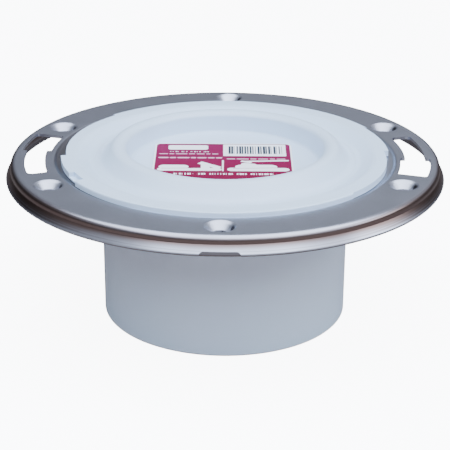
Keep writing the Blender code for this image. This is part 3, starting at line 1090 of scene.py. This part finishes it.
apart = add(tree, "ShaderNodeSeparateXYZ", {}, {0: place.outputs["Vector"]})
strip = add(
    tree,
    "ShaderNodeMath",
    {"operation": "DIVIDE", 1: BAR_PITCH},
    {0: apart.outputs["X"]},
)
number = add(tree, "ShaderNodeMath", {"operation": "FLOOR"}, {0: strip.outputs[0]})
across = add(tree, "ShaderNodeMath", {"operation": "FRACT"}, {0: strip.outputs[0]})
chance = add(
    tree,
    "ShaderNodeTexWhiteNoise",
    {"noise_dimensions": "1D"},
    {"W": number.outputs[0]},
)
bar_width = add(
    tree,
    "ShaderNodeMapRange",
    {"To Min": 0.2, "To Max": 0.9},
    {"Value": chance.outputs["Value"]},
)
is_bar = add(
    tree,
    "ShaderNodeMath",
    {"operation": "LESS_THAN"},
    {0: across.outputs[0], 1: bar_width.outputs["Result"]},
)
strokes, bars = [
    add(
        tree,
        "ShaderNodeMath",
        {"operation": "MULTIPLY"},
        {0: is_bar.outputs[0], 1: in_patches(patches)},
    )
    for patches in (bold_text, code)
]
print("bars in", code[0][2], "mm:", round(code[0][2] / BAR_PITCH))

# %% Ink the label
INK = linear("#760A42")
DEEP_INK = linear("#700434")
RULE_INK = linear("#6E0A3A")
PALE_INK = linear("#DDB4C8")
GREY_INK = linear("#2E353F")
PAPER = linear("#F0F3F8")

lower = add(
    tree,
    "ShaderNodeMapRange",
    {"From Min": 10.0, "From Max": -14.0},      # mm: the ink deepens between these heights
    {"Value": apart.outputs["Y"]},
)
ink = add(
    tree,
    "ShaderNodeMix",
    {"data_type": "RGBA", 6: INK, 7: DEEP_INK},
    {0: lower.outputs["Result"]},
)
colour = add(
    tree,
    "ShaderNodeMix",
    {"data_type": "RGBA", 6: PAPER},
    {0: in_patches(field), 7: ink.outputs[2]},
).outputs[2]
layers = [
    # from the lowest up: a colour, and 1 where it lies
    (PALE_INK, in_patches(fine_text)),
    (PAPER, strokes.outputs[0]),
    (PAPER, in_patches(heading + divider + left_sign + right_sign)),
    (PAPER, in_patches(code_field)),
    (RULE_INK, in_patches(rules)),
    (GREY_INK, bars.outputs[0]),
]
for layer, mask in layers:
    colour = add(
        tree,
        "ShaderNodeMix",
        {"data_type": "RGBA", 7: layer},
        {0: mask, 6: colour},
    ).outputs[2]
tree.links.new(colour, shader.inputs["Base Color"])
dress(label, printed)
print("print on", label.name, "with", len(tree.nodes), "nodes")

# %% [markdown]
# ## Floor
#
# The flange stands on a light table: a sheet of white acrylic, lit from below, so that it
# stays pale and keeps only a soft shadow. To the steel the same table looks brown and dim,
# and dimmer towards the back, as the bench round a light table does. The light that it
# throws back at the pipe is a little brown too. A Light Path node tells these apart. It
# sees only what kind of ray arrives, so every view gives the same table.

# %% Lay the light table
TABLE_SIZE = 8.0           # metres
TABLE = linear("#F6F7F9")
TABLE_GLOW = 9.0
TABLE_BOUNCE = linear("#AE9A93")
BENCH_FRONT = linear("#96908D")
BENCH_BACK = linear("#3C3431")

select_nothing()
bpy.ops.mesh.primitive_plane_add(size=TABLE_SIZE)
floor = bpy.context.object
floor.name = "floor"
acrylic, tree, shader = new_material("white acrylic sheet, lit from below", 0.9, ior=1.49)
ray = add(tree, "ShaderNodeLightPath")
where = add(tree, "ShaderNodeTexCoord")
apart = add(tree, "ShaderNodeSeparateXYZ", {}, {0: where.outputs["Object"]})
behind = add(
    tree,
    "ShaderNodeMapRange",
    {"From Min": -0.15, "From Max": 0.25},      # metres: the flange's own reach, and more
    {"Value": apart.outputs["Y"]},
)
bench = add(
    tree,
    "ShaderNodeMix",
    {"data_type": "RGBA", 6: BENCH_FRONT, 7: BENCH_BACK},
    {0: behind.outputs["Result"]},
)
mirrored = add(
    tree,
    "ShaderNodeMix",
    {"data_type": "RGBA", 6: TABLE_BOUNCE},
    {0: ray.outputs["Is Glossy Ray"], 7: bench.outputs[2]},
)
seen = add(
    tree,
    "ShaderNodeMix",
    {"data_type": "RGBA", 7: TABLE},
    {0: ray.outputs["Is Camera Ray"], 6: mirrored.outputs[2]},
)
glow = add(
    tree,
    "ShaderNodeMath",
    {"operation": "MULTIPLY", 1: TABLE_GLOW},
    {0: ray.outputs["Is Camera Ray"]},
)
shader.inputs["Emission Color"].default_value = TABLE
tree.links.new(seen.outputs[2], shader.inputs["Base Color"])
tree.links.new(glow.outputs[0], shader.inputs["Emission Strength"])
dress(floor, acrylic)
floor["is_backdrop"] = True
print(floor.name, TABLE_SIZE, "m across")

# %% [markdown]
# ## Light
#
# One very large soft box hangs above the camera and reaches back over the flange. A steel
# bend shows the part of the box that it faces, so this one box lights the ring's shoulder,
# its bead and the dimples. A smaller box on the right gives the ridge and the pipe their
# brighter side.

# %% Hang the soft boxes
def soft_box(name, place, aim, size, power, colour):
    """A rectangle of light, in metres and watts, turned to face the aim."""
    bpy.ops.object.light_add(type="AREA", location=place)
    lamp = bpy.context.object
    lamp.name = name
    lamp.data.shape = "RECTANGLE"
    lamp.data.size, lamp.data.size_y = size
    lamp.data.energy = power
    lamp.data.color = linear(colour)[:3]
    toward = Vector(aim) - Vector(place)
    lamp.rotation_mode = "QUATERNION"
    lamp.rotation_quaternion = toward.to_track_quat("-Z", "Y")


soft_box(
    "overhead_box",
    place=(0.1, -0.95, 1.6),
    aim=(0.1, -0.95, 0.0),
    size=(3.4, 3.1),
    power=156.0,
    colour="#E6F0FF",
)
soft_box(
    "right_box",
    place=(1.35, -0.1, 0.62),
    aim=(0.0, 0.0, 0.05),
    size=(0.8, 0.4),
    power=5.5,
    colour="#EEF5FF",
)

# %% [markdown]
# The sky round them is dim and brown at the horizon, pale above, and brighter towards the
# right. The steel sees it brighter in front, where the room is. Seen directly it has the
# table's own tone, so the table has no far edge.

# %% Set the sky
SKY_LOW = linear("#3C3635")
SKY_HIGH = linear("#BCC0CA")
FRONT_GAIN = 2.8

world = bpy.data.worlds.new("studio")
bpy.context.scene.world = world
world.use_nodes = True
tree = world.node_tree
background = tree.nodes["Background"]
ray = add(tree, "ShaderNodeLightPath")
way = add(tree, "ShaderNodeTexCoord")
apart = add(tree, "ShaderNodeSeparateXYZ", {}, {0: way.outputs["Generated"]})
rise = add(
    tree,
    "ShaderNodeMapRange",
    {"interpolation_type": "SMOOTHSTEP", "From Min": 0.1, "From Max": 0.35},
    {"Value": apart.outputs["Z"]},
)
sky = add(
    tree,
    "ShaderNodeMix",
    {"data_type": "RGBA", 6: SKY_LOW, 7: SKY_HIGH},
    {0: rise.outputs["Result"]},
)
shown = add(
    tree,
    "ShaderNodeMix",
    {"data_type": "RGBA", 7: TABLE},
    {0: ray.outputs["Is Camera Ray"], 6: sky.outputs[2]},
)
tree.links.new(shown.outputs[2], background.inputs["Color"])
right_gain = add(
    tree,
    "ShaderNodeMapRange",
    {"From Min": -0.7, "From Max": 0.8, "To Min": 0.4, "To Max": 1.45},
    {"Value": apart.outputs["X"]},
)
front_gain = add(
    tree,
    "ShaderNodeMapRange",
    {"From Min": 0.3, "From Max": -0.1, "To Min": 1.0, "To Max": FRONT_GAIN},
    {"Value": apart.outputs["Y"]},
)
sheen = add(
    tree,
    "ShaderNodeMath",
    {"operation": "MULTIPLY"},
    {0: right_gain.outputs["Result"], 1: front_gain.outputs["Result"]},
)
lit = add(
    tree,
    "ShaderNodeMix",
    {"data_type": "FLOAT"},
    {0: ray.outputs["Is Glossy Ray"], 2: right_gain.outputs["Result"], 3: sheen.outputs[0]},
)
strength = add(
    tree,
    "ShaderNodeMix",
    {"data_type": "FLOAT", 3: TABLE_GLOW},
    {0: ray.outputs["Is Camera Ray"], 2: lit.outputs[0]},
)
tree.links.new(strength.outputs[0], background.inputs["Strength"])
print("sky:", len(tree.nodes), "nodes")

# %% [markdown]
# ## Finish
#
# The visual model's box is printed beside the CAD model's box. The visual model has to
# stay inside the CAD model's box.

# %% Print the two boxes
visual_box = [list(corner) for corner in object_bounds()]
for name, corners in (("CAD", CAD_BOX), ("visual", visual_box)):
    print(name, [[round(v / MM, 2) for v in corner] for corner in corners])
